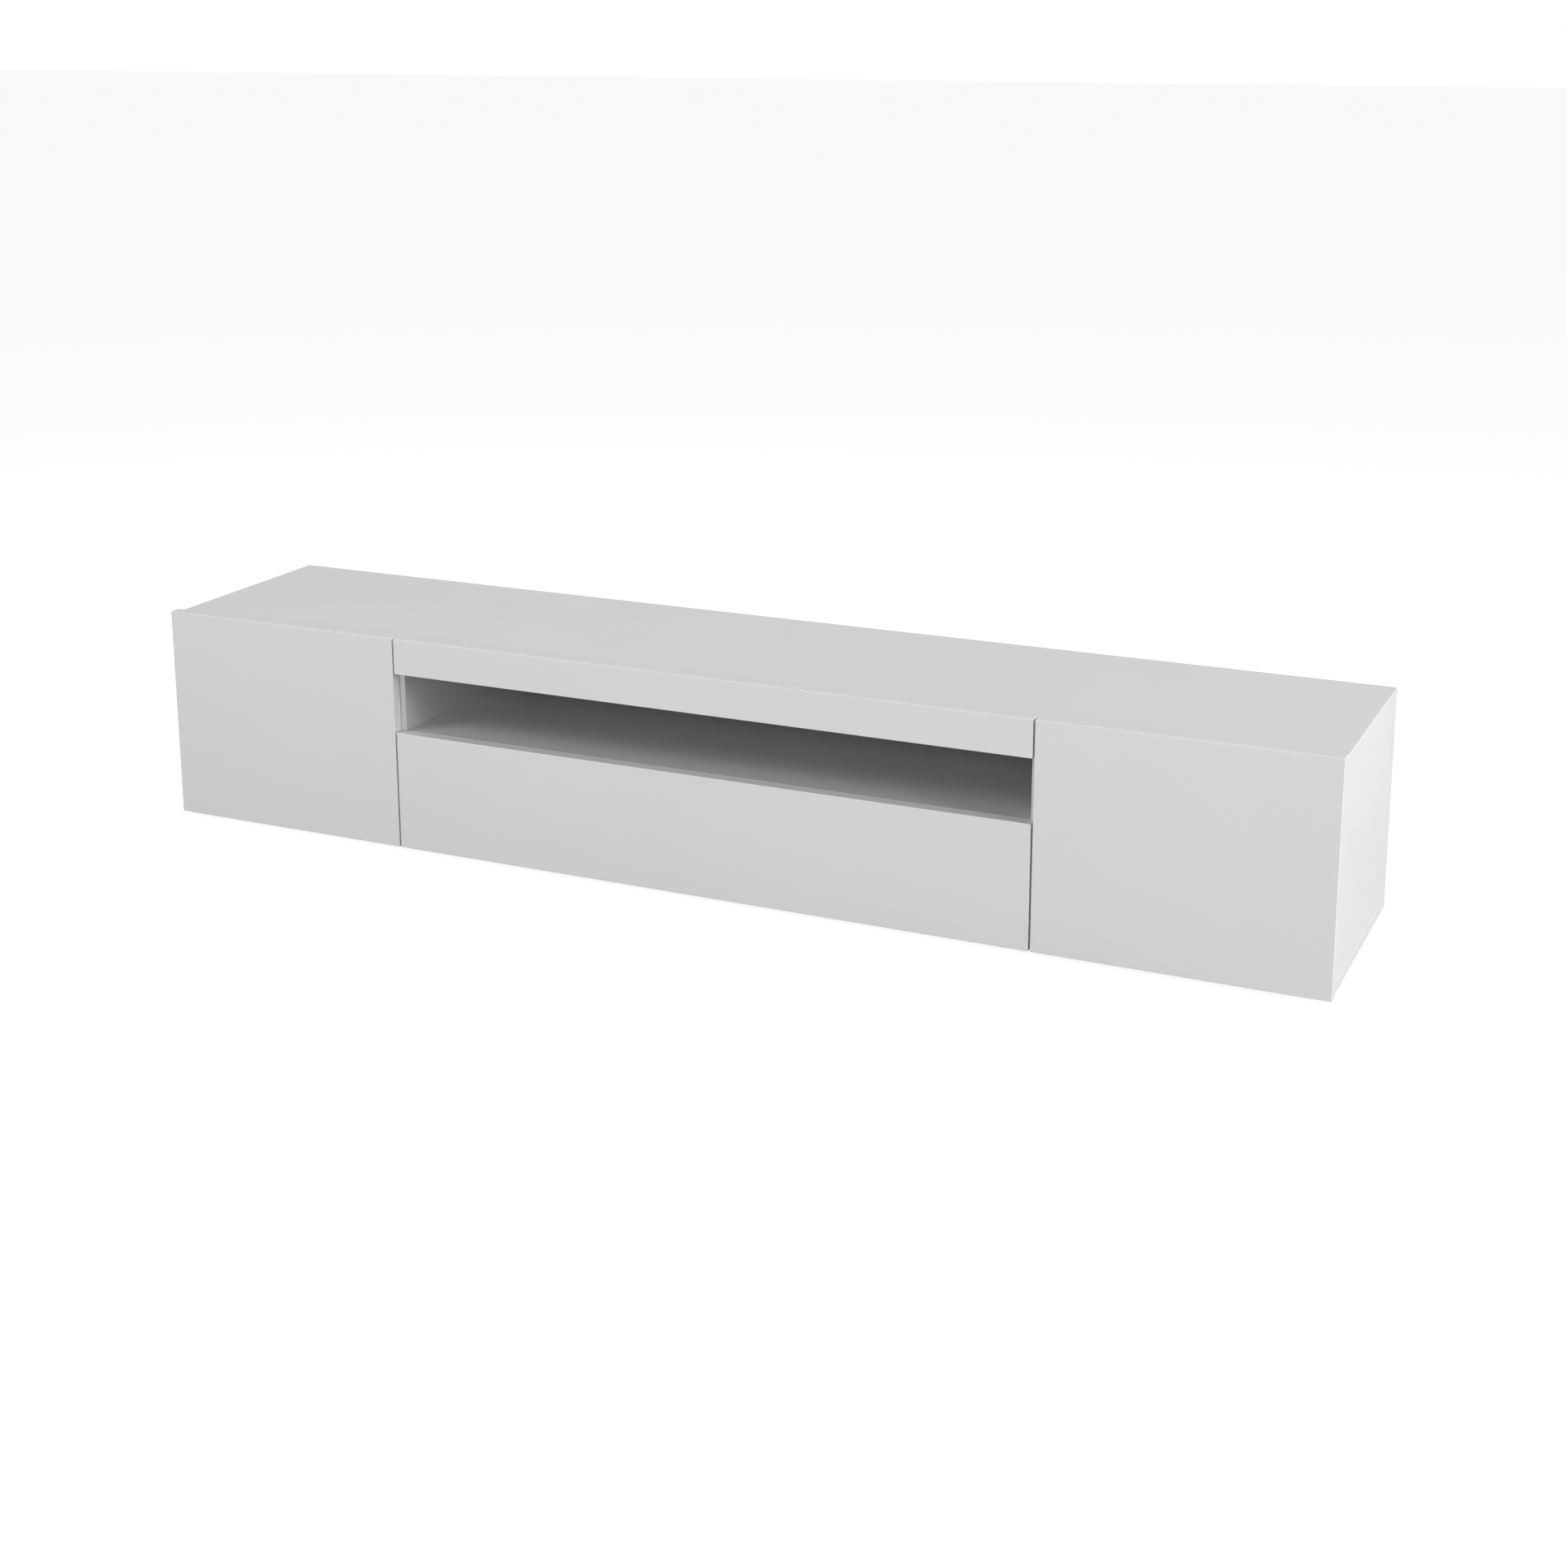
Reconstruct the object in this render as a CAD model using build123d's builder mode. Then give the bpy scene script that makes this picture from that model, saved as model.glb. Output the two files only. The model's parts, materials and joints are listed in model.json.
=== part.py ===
from build123d import *
from math import sqrt
import os

# Low television cabinet: a panel carcass with two side-hung doors, a fixed fascia, an open
# niche and a drop flap.  Units are millimetres, +Z is up, the fronts face -Y and the origin
# is at the centre of the footprint, on the floor.

os.makedirs("parts", exist_ok=True)

# ------------------------------------------------------------------ driving dimensions
overall_width = 2000
overall_depth = 400
front_height = 360          # doors, and the stack of flap, niche and fascia
floor_clearance = 8         # fronts end this far above the floor
front_thickness = 19
front_gap = 3               # between neighbouring fronts
hinge_gap = 2.5             # between the back of the fronts and the boards that carry their hinges
rest_gap = 1.2              # between the back of the fronts and the boards that they close against
centre_width = 1100         # flap and fascia
fascia_height = 60
niche_height = 101
board = 16                  # thickness of every carcass board
back_board = 3
top_recess = 4.5            # fronts stand this far above the top panel
edge_inset = 1              # top and bottom panels end this far inside the fronts
side_setback = 0.5          # side panels lie this far inside the top and bottom panels
back_inset = 8              # back boards lie this far in from the rear edges
groove_depth = 6
groove_play = 0.2
front_edge_radius = 0.8
board_edge_radius = 0.4
top_edge_radius = 1.2

rail_height = 32            # batten that carries the fascia
rail_screw_pitch = 225      # one row into the fascia, and one half a pitch aside into the top panel
rail_screw_bite = 12        # into the fascia or the top panel

shelf_setback = 20
shelf_play = 1
shelf_pin_radius = 2.5
shelf_pin_depth = 8
shelf_pin_head_radius = 3.5
shelf_pin_head_length = 9
shelf_pin_inset = 80        # from the front and rear of the cabinet

snug = 0.05                 # radial play of fixings in their holes
dowel_radius = 4
dowel_in_edge = 20
dowel_in_face = 10
dowel_inset = 140           # from the front and rear of the cabinet
cam_radius = 7.5
cam_setback = 24            # from the joint to the cam's centre
cam_inset = 70              # from the front and rear of the cabinet
bolt_thread_radius = 2.5
bolt_thread_length = 11
bolt_shank_radius = 3
bolt_head_radius = 3.5
bolt_head_length = 5
cam_cover = 1               # of the cam beyond the bolt's head
cam_slot_length = 6
cam_slot_width = 1.8
confirmat_shank_radius = 3.5
confirmat_thread_radius = 3
confirmat_thread_length = 34
confirmat_head_radius = 5
confirmat_head_length = 4
confirmat_socket_radius = 2.3
confirmat_socket_depth = 3
confirmat_glide_pitch = 45  # from the glides to the nearest screws

glide_radius = 12
glide_inset = 45            # from the front and rear of the cabinet to the glides' centres
glide_end_inset = 40
glide_spigot_radius = 3
glide_spigot_length = 8
glide_chamfer = 2

door_hinge_inset = 75       # from a door's ends to its hinges
flap_hinge_spread = 400
cup_radius = 17.45
cup_wall = 1
cup_floor = 0.8
cup_skin = 5.3              # front material left under the cup
cup_bed_play = 0.1          # under the cup
flange_thickness = 1.2
flange_half_length = 28
flange_start = 3.5          # from the cup's centre towards the front's edge
flange_end = 13.5
cup_screw_spread = 24
cup_screw_offset = 6
cup_screw_length = 11
eye_radius = 2.4
eye_play = 0.25
pin_radius = 1.25
pin_play = 0.05             # in the arm's eye
pin_fit = 0.02              # in the cup's walls
sweep_play = 0.18           # between a turning front's edge and the carcass
arm_width = 8
arm_thickness = 2.5
arm_hook_thickness = 3
arm_reach = 62              # along the carcass, behind the fronts
arm_corner_radius = 2
plate_thickness = 3.5
plate_start = 8
plate_end = 66
plate_half_width = 7.5
plate_wing_half_width = 22
plate_wing_half_length = 8
system_line = 37            # screw line behind the carcass's front edge
system_pitch = 32
plate_screw_length = 12
arm_screw_position = 54
arm_screw_radius = 2
arm_screw_head_radius = 3.6
arm_screw_head_height = 2.2

wood_screw_radius = 1.5
wood_screw_head_radius = 3.2
recess_width = 0.9
recess_depth = 1.1

latch_width = 14
latch_length = 45
latch_base_thickness = 3
latch_base_half_width = 16
latch_screw_spread = 11.5
latch_screw_length = 12
latch_setback = 2.3         # behind the boards that the fronts close against
plunger_radius = 4
plunger_play = 0.08
plunger_length = 28
plunger_travel = 2
plunger_rest_gap = 0.3
plunger_chamfer = 0.6
latch_bore_depth = 36
strike_thickness = 1
strike_half_width = 7
strike_half_length = 15
flap_latch_inset = 70       # from the partitions to the flap's latches

bumper_radius = 3.2
bumper_play = 0.2
bumper_inset = 30           # from a door's ends to its bumpers

# ------------------------------------------------------------------ places worked out
x_edge = overall_width / 2
y_front = -overall_depth / 2
y_front_rear = y_front + front_thickness
y_carcass = y_front_rear + hinge_gap
y_rest = y_front_rear + rest_gap
y_back = overall_depth / 2
y_glide = y_back - glide_inset
y_confirmat = y_glide - confirmat_glide_pitch
y_cam = y_back - cam_inset
y_dowel = y_back - dowel_inset
y_shelf_pin = y_back - shelf_pin_inset
z_low = floor_clearance
z_high = floor_clearance + front_height
x_carcass = x_edge - edge_inset
x_side_outer = x_carcass - side_setback
x_side_inner = x_side_outer - board
x_partition = (centre_width + front_gap) / 2
x_partition_inner = x_partition - board / 2
x_partition_outer = x_partition + board / 2
z_bottom = z_low + edge_inset
z_floor = z_bottom + board
z_top = z_high - top_recess
z_ceiling = z_top - board
z_flap_top = z_high - fascia_height - niche_height
z_niche_ceiling = z_high - fascia_height
z_niche_underside = z_flap_top - board
y_back_board = (y_back - back_inset - back_board, y_back - back_inset)
y_groove = (y_back_board[0] - groove_play, y_back_board[1] + groove_play)
y_shelf_end = y_groove[0] - shelf_play
z_side_shelf = (z_floor + z_ceiling - board) / 2
rail_y = (y_front_rear, y_front_rear + board)
rail_z = z_ceiling - rail_height

cup_inner_radius = cup_radius - cup_wall
cup_depth = front_thickness - cup_skin
pivot_depth = cup_depth - cup_floor - cup_bed_play - eye_play - eye_radius
pivot_edge = sqrt((pivot_depth + hinge_gap - sweep_play) ** 2 - pivot_depth ** 2)
cup_edge = pivot_edge - eye_radius - eye_play + sqrt(cup_inner_radius ** 2 - (arm_width / 2) ** 2)
pin_half_length = sqrt(cup_radius ** 2 - (cup_edge - pivot_edge + pin_radius) ** 2) - snug
cam_depth = board / 2 + bolt_head_radius + cam_cover
rail_front_screw_x = [step * rail_screw_pitch for step in (-2, -1, 0, 1, 2)]
rail_top_screw_x = [step * rail_screw_pitch for step in (-1.5, -0.5, 0.5, 1.5)]

low_end = (Align.CENTER, Align.CENTER, Align.MIN)
forward = (0, -1, 0)
rearward = (0, 1, 0)
up = (0, 0, 1)


# ------------------------------------------------------------------ shared shapes
def save(piece, name):
    """Label a finished piece and write it to its own file."""
    piece.part.label = name
    export_step(piece.part, f"parts/{name}.step")


def block(x, y, z, plane=Plane.XY, mode=Mode.ADD):
    """Add or cut a block that spans three ranges along a plane's own axes."""
    with Locations(plane):
        with Locations(((x[0] + x[1]) / 2, (y[0] + y[1]) / 2, (z[0] + z[1]) / 2)):
            Box(x[1] - x[0], y[1] - y[0], z[1] - z[0], mode=mode)


def rod(start, along, radius, length, plane=Plane.XY, mode=Mode.ADD):
    """Add or cut a round bar that starts at a point of a plane and runs along a direction of it."""
    with Locations(plane):
        with Locations(Plane(origin=start, z_dir=along)):
            Cylinder(radius, length, align=low_end, mode=mode)


def wood_screw(seat, along, length, plane=Plane.XY, mode=Mode.ADD):
    """Add a countersunk cross-recess screw whose head is flush with its seat, or cut its hole."""
    with Locations(plane):
        with Locations(Plane(origin=seat, z_dir=along)):
            Cylinder(wood_screw_radius, length, align=low_end, mode=mode)
            head_height = wood_screw_head_radius - wood_screw_radius
            Cone(wood_screw_head_radius, wood_screw_radius, head_height, align=low_end, mode=mode)
            if mode == Mode.ADD:
                for turn in (0, 90):
                    Box(2 * wood_screw_radius, recess_width, recess_depth, rotation=(0, 0, turn),
                        align=low_end, mode=Mode.SUBTRACT)


def front_panel(x, z):
    """Add the board of a front."""
    block(x, (y_front, y_front_rear), z)


# ------------------------------------------------------------------ carcass fixings
# Each fixing joins the edge of one panel to the face of another.  Its plane starts where the
# two meet, half way through the edge panel, and its z axis runs into that panel.
fixings = []
for side, name in ((-1, "left"), (1, "right")):
    for x, panel, cam_side in (((x_side_inner + x_side_outer) / 2, "side_panel", -side),
                               (x_partition, "partition", side)):
        for end in (-1, 1):
            for kind, y in (("cam", y_cam), ("dowel", y_dowel)):
                plane = Plane(origin=(side * x, end * y, z_ceiling), x_dir=(cam_side, 0, 0), z_dir=(0, 0, -1))
                fixings.append((kind, plane, f"{name}_{panel}", "top_panel"))
        for y in (-y_confirmat, 0, y_confirmat):
            plane = Plane(origin=(side * x, y, z_floor), x_dir=(1, 0, 0), z_dir=up)
            fixings.append(("confirmat", plane, f"{name}_{panel}", "bottom_panel"))
    for end in (-1, 1):
        for kind, y in (("cam", y_cam), ("dowel", y_dowel)):
            plane = Plane(origin=(side * x_partition_inner, end * y, z_flap_top - board / 2),
                          x_dir=(0, 0, -1), z_dir=(-side, 0, 0))
            fixings.append((kind, plane, "niche_shelf", f"{name}_partition"))
    plane = Plane(origin=(side * x_partition_inner, (rail_y[0] + rail_y[1]) / 2, rail_z + rail_height / 2),
                  x_dir=(0, 0, -1), z_dir=(-side, 0, 0))
    fixings.append(("dowel", plane, "fascia_rail", f"{name}_partition"))


def drill(panel):
    """Cut the holes that a panel needs for its fixings."""
    for kind, plane, edge_panel, face_panel in fixings:
        if panel == edge_panel and kind == "cam":
            rod((board / 2, 0, cam_setback), (-1, 0, 0), cam_radius + snug, cam_depth + snug,
                plane, Mode.SUBTRACT)
            rod((0, 0, 0), up, bolt_head_radius + snug, cam_setback, plane, Mode.SUBTRACT)
        if panel == edge_panel and kind == "dowel":
            rod((0, 0, 0), up, dowel_radius + snug, dowel_in_edge + snug, plane, Mode.SUBTRACT)
        if panel == edge_panel and kind == "confirmat":
            rod((0, 0, 0), up, confirmat_thread_radius + snug, confirmat_thread_length + snug,
                plane, Mode.SUBTRACT)
        if panel == face_panel and kind == "cam":
            rod((0, 0, 0), (0, 0, -1), bolt_thread_radius + snug, bolt_thread_length + snug,
                plane, Mode.SUBTRACT)
        if panel == face_panel and kind == "dowel":
            rod((0, 0, 0), (0, 0, -1), dowel_radius + snug, dowel_in_face + snug, plane, Mode.SUBTRACT)
        if panel == face_panel and kind == "confirmat":
            rod((0, 0, -board), up, confirmat_shank_radius + snug, board, plane, Mode.SUBTRACT)
            rod((0, 0, -board), up, confirmat_head_radius + snug, confirmat_head_length, plane, Mode.SUBTRACT)


# ------------------------------------------------------------------ hinges
# A hinge plane lies at the hinged edge of a front, on its rear face: x runs over the front,
# y runs rearwards into the carcass and z runs along the pivot.
hinge_planes = {"left": [], "right": [], "flap": []}
for z in (z_low + door_hinge_inset, z_high - door_hinge_inset):
    hinge_planes["left"].append(Plane(origin=(-x_edge, y_front_rear, z), x_dir=(1, 0, 0), z_dir=(0, 0, 1)))
    hinge_planes["right"].append(Plane(origin=(x_edge, y_front_rear, z), x_dir=(-1, 0, 0), z_dir=(0, 0, -1)))
for x in (-flap_hinge_spread, 0, flap_hinge_spread):
    hinge_planes["flap"].append(Plane(origin=(x, y_front_rear, z_low), x_dir=(0, 0, 1), z_dir=(-1, 0, 0)))
hinge_wall = {"left": x_edge - x_side_inner, "right": x_edge - x_side_inner, "flap": z_floor - z_low}
hinge_carrier = {"left": "left_side_panel", "right": "right_side_panel", "flap": "bottom_panel"}
cup_screw_seats = [(cup_edge + cup_screw_offset, flange_thickness, end * cup_screw_spread) for end in (-1, 1)]
system_y = hinge_gap + system_line


def plate_screw_seats(name):
    """Screw seats on a hinge plate, on its face away from the wall."""
    return [(hinge_wall[name] + plate_thickness, system_y, end * system_pitch / 2) for end in (-1, 1)]


def drill_for_hinge_plates(panel):
    """Cut the holes under the hinge plates that a carcass panel carries."""
    for name, carrier in hinge_carrier.items():
        if carrier == panel:
            for plane in hinge_planes[name]:
                for seat in plate_screw_seats(name):
                    wood_screw(seat, (-1, 0, 0), plate_screw_length, plane, Mode.SUBTRACT)


def sink_cups(name):
    """Cut the cup bores and their screw holes in a hinged front."""
    for plane in hinge_planes[name]:
        rod((cup_edge, 0, 0), forward, cup_radius + snug, cup_depth, plane, Mode.SUBTRACT)
        for seat in cup_screw_seats:
            wood_screw(seat, forward, cup_screw_length, plane, Mode.SUBTRACT)


# ------------------------------------------------------------------ push latches
# A latch plane lies on the wall that carries the latch, level with the rear of the fronts:
# x runs away from the wall and y runs rearwards into the carcass.
z_door_latch = (z_side_shelf + board + z_ceiling) / 2
x_flap_latch = x_partition_inner - flap_latch_inset
latch_planes = {}
for side, name in ((-1, "left"), (1, "right")):
    latch_planes[f"{name}_latch"] = Plane(
        origin=(side * x_partition_outer, y_front_rear, z_door_latch), x_dir=(side, 0, 0), z_dir=(0, 0, side))
    latch_planes[f"flap_{name}_latch"] = Plane(
        origin=(side * x_flap_latch, y_front_rear, z_niche_underside), x_dir=(0, 0, -1), z_dir=(1, 0, 0))
latch_carrier = {"left_latch": "left_partition", "right_latch": "right_partition",
                 "flap_left_latch": "niche_shelf", "flap_right_latch": "niche_shelf"}
latch_front = rest_gap + latch_setback
latch_axis = latch_width / 2
latch_screw_y = latch_front + latch_length / 2
latch_screw_seats = [(latch_base_thickness, latch_screw_y, end * latch_screw_spread) for end in (-1, 1)]


def drill_for_latches(panel):
    """Cut the screw holes under the latches that a carcass panel carries."""
    for name, carrier in latch_carrier.items():
        if carrier == panel:
            for seat in latch_screw_seats:
                wood_screw(seat, (-1, 0, 0), latch_screw_length, latch_planes[name], Mode.SUBTRACT)


# ------------------------------------------------------------------ back boards and their grooves
back_spans = {
    "left_back_panel": (-x_side_inner, -x_partition_outer),
    "centre_back_panel": (-x_partition_inner, x_partition_inner),
    "right_back_panel": (x_partition_outer, x_side_inner),
}
back_reach = groove_depth - groove_play
for name, (x0, x1) in back_spans.items():
    with BuildPart() as back_panel:
        block((x0 - back_reach, x1 + back_reach), y_back_board, (z_floor - back_reach, z_ceiling + back_reach))
    save(back_panel, name)


def cut_back_grooves():
    """Cut the grooves that the back boards stand in."""
    for x0, x1 in back_spans.values():
        block((x0 - groove_depth, x1 + groove_depth), y_groove,
              (z_floor - groove_depth, z_ceiling + groove_depth), mode=Mode.SUBTRACT)


# ------------------------------------------------------------------ carcass panels
glide_x = (-x_carcass + glide_end_inset, -x_partition, 0, x_partition, x_carcass - glide_end_inset)
glide_places = [(x, y) for x in glide_x for y in (-y_glide, y_glide)]

with BuildPart() as top_panel:
    block((-x_carcass, x_carcass), (y_carcass, y_back), (z_ceiling, z_top))
    fillet(top_panel.edges().group_by(Axis.Z)[-1], top_edge_radius)
    cut_back_grooves()
    drill("top_panel")
    for x in rail_top_screw_x:
        wood_screw((x, sum(rail_y) / 2, rail_z), up, rail_height + rail_screw_bite, mode=Mode.SUBTRACT)
save(top_panel, "top_panel")

with BuildPart() as bottom_panel:
    block((-x_carcass, x_carcass), (y_carcass, y_back), (z_bottom, z_floor))
    fillet(bottom_panel.edges(), board_edge_radius)
    cut_back_grooves()
    drill("bottom_panel")
    drill_for_hinge_plates("bottom_panel")
    for x, y in glide_places:
        rod((x, y, z_bottom), up, glide_spigot_radius + snug, glide_spigot_length + snug, mode=Mode.SUBTRACT)
save(bottom_panel, "bottom_panel")

shelf_pin_z = z_side_shelf - shelf_pin_head_radius
for side, name in ((-1, "left"), (1, "right")):
    with BuildPart() as side_panel:
        block(sorted((side * x_side_inner, side * x_side_outer)), (y_carcass, y_back), (z_floor, z_ceiling))
        fillet(side_panel.edges(), board_edge_radius)
        cut_back_grooves()
        drill(f"{name}_side_panel")
        drill_for_hinge_plates(f"{name}_side_panel")
        for y in (-y_shelf_pin, y_shelf_pin):
            rod((side * x_side_inner, y, shelf_pin_z), (side, 0, 0), shelf_pin_radius + snug,
                shelf_pin_depth + snug, mode=Mode.SUBTRACT)
    save(side_panel, f"{name}_side_panel")

    with BuildPart() as partition:
        block(sorted((side * x_partition_inner, side * x_partition_outer)), (y_rest, y_back),
              (z_floor, z_ceiling))
        fillet(partition.edges(), board_edge_radius)
        cut_back_grooves()
        drill(f"{name}_partition")
        drill_for_latches(f"{name}_partition")
        for y in (-y_shelf_pin, y_shelf_pin):
            rod((side * x_partition_outer, y, shelf_pin_z), (-side, 0, 0), shelf_pin_radius + snug,
                shelf_pin_depth + snug, mode=Mode.SUBTRACT)
    save(partition, f"{name}_partition")

    with BuildPart() as side_shelf:
        block(sorted((side * (x_partition_outer + shelf_play), side * (x_side_inner - shelf_play))),
              (y_carcass + shelf_setback, y_shelf_end), (z_side_shelf, z_side_shelf + board))
        fillet(side_shelf.edges(), board_edge_radius)
    save(side_shelf, f"{name}_shelf")

with BuildPart() as niche_shelf:
    block((-x_partition_inner, x_partition_inner), (y_rest, y_shelf_end), (z_niche_underside, z_flap_top))
    fillet(niche_shelf.edges(), board_edge_radius)
    drill("niche_shelf")
    drill_for_latches("niche_shelf")
save(niche_shelf, "niche_shelf")

with BuildPart() as fascia_rail:
    block((-x_partition_inner, x_partition_inner), rail_y, (rail_z, z_ceiling))
    drill("fascia_rail")
    for x in rail_front_screw_x:
        wood_screw((x, rail_y[1], rail_z + rail_height / 2), forward, board + rail_screw_bite,
                   mode=Mode.SUBTRACT)
    for x in rail_top_screw_x:
        wood_screw((x, sum(rail_y) / 2, rail_z), up, rail_height + rail_screw_bite, mode=Mode.SUBTRACT)
save(fascia_rail, "fascia_rail")

with BuildPart() as fascia:
    front_panel((-centre_width / 2, centre_width / 2), (z_niche_ceiling, z_high))
    fillet(fascia.edges(), front_edge_radius)
    for x in rail_front_screw_x:
        wood_screw((x, rail_y[1], rail_z + rail_height / 2), forward, board + rail_screw_bite,
                   mode=Mode.SUBTRACT)
save(fascia, "fascia")

# ------------------------------------------------------------------ hinged fronts
x_door_inner = centre_width / 2 + front_gap
for side, name in ((-1, "left"), (1, "right")):
    with BuildPart() as door:
        front_panel(sorted((side * x_door_inner, side * x_edge)), (z_low, z_high))
        fillet(door.edges(), front_edge_radius)
        sink_cups(name)
    save(door, f"{name}_door")

with BuildPart() as flap:
    front_panel((-centre_width / 2, centre_width / 2), (z_low, z_flap_top))
    fillet(flap.edges(), front_edge_radius)
    sink_cups("flap")
save(flap, "flap")

# ------------------------------------------------------------------ hinge pieces
arm_u = {name: hinge_wall[name] + plate_thickness for name in hinge_planes}
hook_low = -pivot_depth - arm_hook_thickness / 2
hook_high = -pivot_depth + arm_hook_thickness / 2

for name, planes in hinge_planes.items():
    with BuildPart() as cups:
        for plane in planes:
            rod((cup_edge, 0, 0), forward, cup_radius, cup_depth - cup_bed_play, plane)
            block((cup_edge - flange_start, cup_edge + flange_end), (0, flange_thickness),
                  (-flange_half_length, flange_half_length), plane)
        for plane in planes:
            rod((cup_edge, flange_thickness, 0), forward, cup_inner_radius,
                flange_thickness + cup_depth - cup_bed_play - cup_floor, plane, Mode.SUBTRACT)
            rod((pivot_edge, -pivot_depth, -pin_half_length), up, pin_radius + pin_fit,
                2 * pin_half_length, plane, Mode.SUBTRACT)
            for seat in cup_screw_seats:
                wood_screw(seat, forward, cup_screw_length, plane, Mode.SUBTRACT)
    save(cups, f"{name}_hinge_cups")

    with BuildPart() as pins:
        for plane in planes:
            rod((pivot_edge, -pivot_depth, -pin_half_length), up, pin_radius, 2 * pin_half_length, plane)
    save(pins, f"{name}_hinge_pins")

    with BuildPart() as cup_screws:
        for plane in planes:
            for seat in cup_screw_seats:
                wood_screw(seat, forward, cup_screw_length, plane)
    save(cup_screws, f"{name}_cup_screws")

    with BuildPart() as arms:
        for plane in planes:
            with BuildSketch(plane):
                with BuildLine():
                    hook = Polyline(
                        (pivot_edge, hook_low),
                        (arm_u[name] + arm_thickness, hook_low),
                        (arm_u[name] + arm_thickness, arm_reach),
                        (arm_u[name], arm_reach),
                        (arm_u[name], hook_high),
                        (pivot_edge, hook_high),
                        close=True,
                    )
                make_face()
                with Locations((pivot_edge, -pivot_depth)):
                    Circle(eye_radius)
                    Circle(pin_radius + pin_play, mode=Mode.SUBTRACT)
            extrude(amount=arm_width / 2, both=True)
            rod((arm_u[name], arm_screw_position, 0), (1, 0, 0), arm_screw_radius + snug, arm_thickness,
                plane, Mode.SUBTRACT)
    save(arms, f"{name}_hinge_arms")

    with BuildPart() as plates:
        for plane in planes:
            block((hinge_wall[name], arm_u[name]), (plate_start, plate_end),
                  (-plate_half_width, plate_half_width), plane)
            block((hinge_wall[name], arm_u[name]),
                  (system_y - plate_wing_half_length, system_y + plate_wing_half_length),
                  (-plate_wing_half_width, plate_wing_half_width), plane)
            rod((hinge_wall[name], arm_screw_position, 0), (1, 0, 0), arm_screw_radius + snug,
                plate_thickness, plane, Mode.SUBTRACT)
            for seat in plate_screw_seats(name):
                wood_screw(seat, (-1, 0, 0), plate_screw_length, plane, Mode.SUBTRACT)
    save(plates, f"{name}_hinge_plates")

with BuildPart() as plate_screws:
    for name, planes in hinge_planes.items():
        for plane in planes:
            for seat in plate_screw_seats(name):
                wood_screw(seat, (-1, 0, 0), plate_screw_length, plane)
save(plate_screws, "hinge_plate_screws")

with BuildPart() as arm_screws:
    for name, planes in hinge_planes.items():
        for plane in planes:
            rod((hinge_wall[name], arm_screw_position, 0), (1, 0, 0), arm_screw_radius,
                plate_thickness + arm_thickness, plane)
            head_seat = arm_u[name] + arm_thickness
            rod((head_seat, arm_screw_position, 0), (1, 0, 0), arm_screw_head_radius,
                arm_screw_head_height, plane)
            for half_y, half_z in ((arm_screw_radius, recess_width / 2), (recess_width / 2, arm_screw_radius)):
                block((head_seat + arm_screw_head_height - recess_depth, head_seat + arm_screw_head_height),
                      (arm_screw_position - half_y, arm_screw_position + half_y), (-half_z, half_z),
                      plane, Mode.SUBTRACT)
save(arm_screws, "hinge_arm_screws")

# ------------------------------------------------------------------ push latch pieces
with BuildPart() as latch_housings:
    for plane in latch_planes.values():
        block((0, latch_width), (latch_front, latch_front + latch_length), (-latch_axis, latch_axis), plane)
        block((0, latch_base_thickness), (latch_front, latch_front + latch_length),
              (-latch_base_half_width, latch_base_half_width), plane)
        rod((latch_axis, latch_front, 0), rearward, plunger_radius + plunger_play, latch_bore_depth,
            plane, Mode.SUBTRACT)
        for seat in latch_screw_seats:
            wood_screw(seat, (-1, 0, 0), latch_screw_length, plane, Mode.SUBTRACT)
save(latch_housings, "latch_housings")

with BuildPart() as latch_screws:
    for plane in latch_planes.values():
        for seat in latch_screw_seats:
            wood_screw(seat, (-1, 0, 0), latch_screw_length, plane)
save(latch_screws, "latch_screws")

for name, plane in latch_planes.items():
    with BuildPart() as plunger:
        rod((latch_axis, strike_thickness + plunger_rest_gap, 0), rearward, plunger_radius,
            plunger_length, plane)
        chamfer(plunger.edges().group_by(Axis.Y)[0], plunger_chamfer)
    save(plunger, f"{name}_plunger")

for front, latches in (("left", ["left_latch"]), ("right", ["right_latch"]),
                       ("flap", ["flap_left_latch", "flap_right_latch"])):
    with BuildPart() as strike_plates:
        for name in latches:
            block((latch_axis - strike_half_width, latch_axis + strike_half_width), (0, strike_thickness),
                  (-strike_half_length, strike_half_length), latch_planes[name])
    save(strike_plates, f"{front}_strike_plates")

# ------------------------------------------------------------------ small pieces
with BuildPart() as door_bumpers:
    for side in (-1, 1):
        x = side * (x_partition_outer - bumper_radius)
        for z in (z_floor + bumper_inset, z_ceiling - bumper_inset):
            rod((x, y_rest, z), forward, bumper_radius, rest_gap - bumper_play)
        rod((side * x_partition / 2, y_rest, z_flap_top - board / 2), forward, bumper_radius,
            rest_gap - bumper_play)
save(door_bumpers, "door_bumpers")

with BuildPart() as shelf_pins:
    for side in (-1, 1):
        for x, outward in ((x_side_inner, side), (x_partition_outer, -side)):
            for y in (-y_shelf_pin, y_shelf_pin):
                rod((side * x, y, shelf_pin_z), (outward, 0, 0), shelf_pin_radius, shelf_pin_depth)
                rod((side * x, y, shelf_pin_z), (-outward, 0, 0), shelf_pin_head_radius, shelf_pin_head_length)
save(shelf_pins, "shelf_pins")

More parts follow.
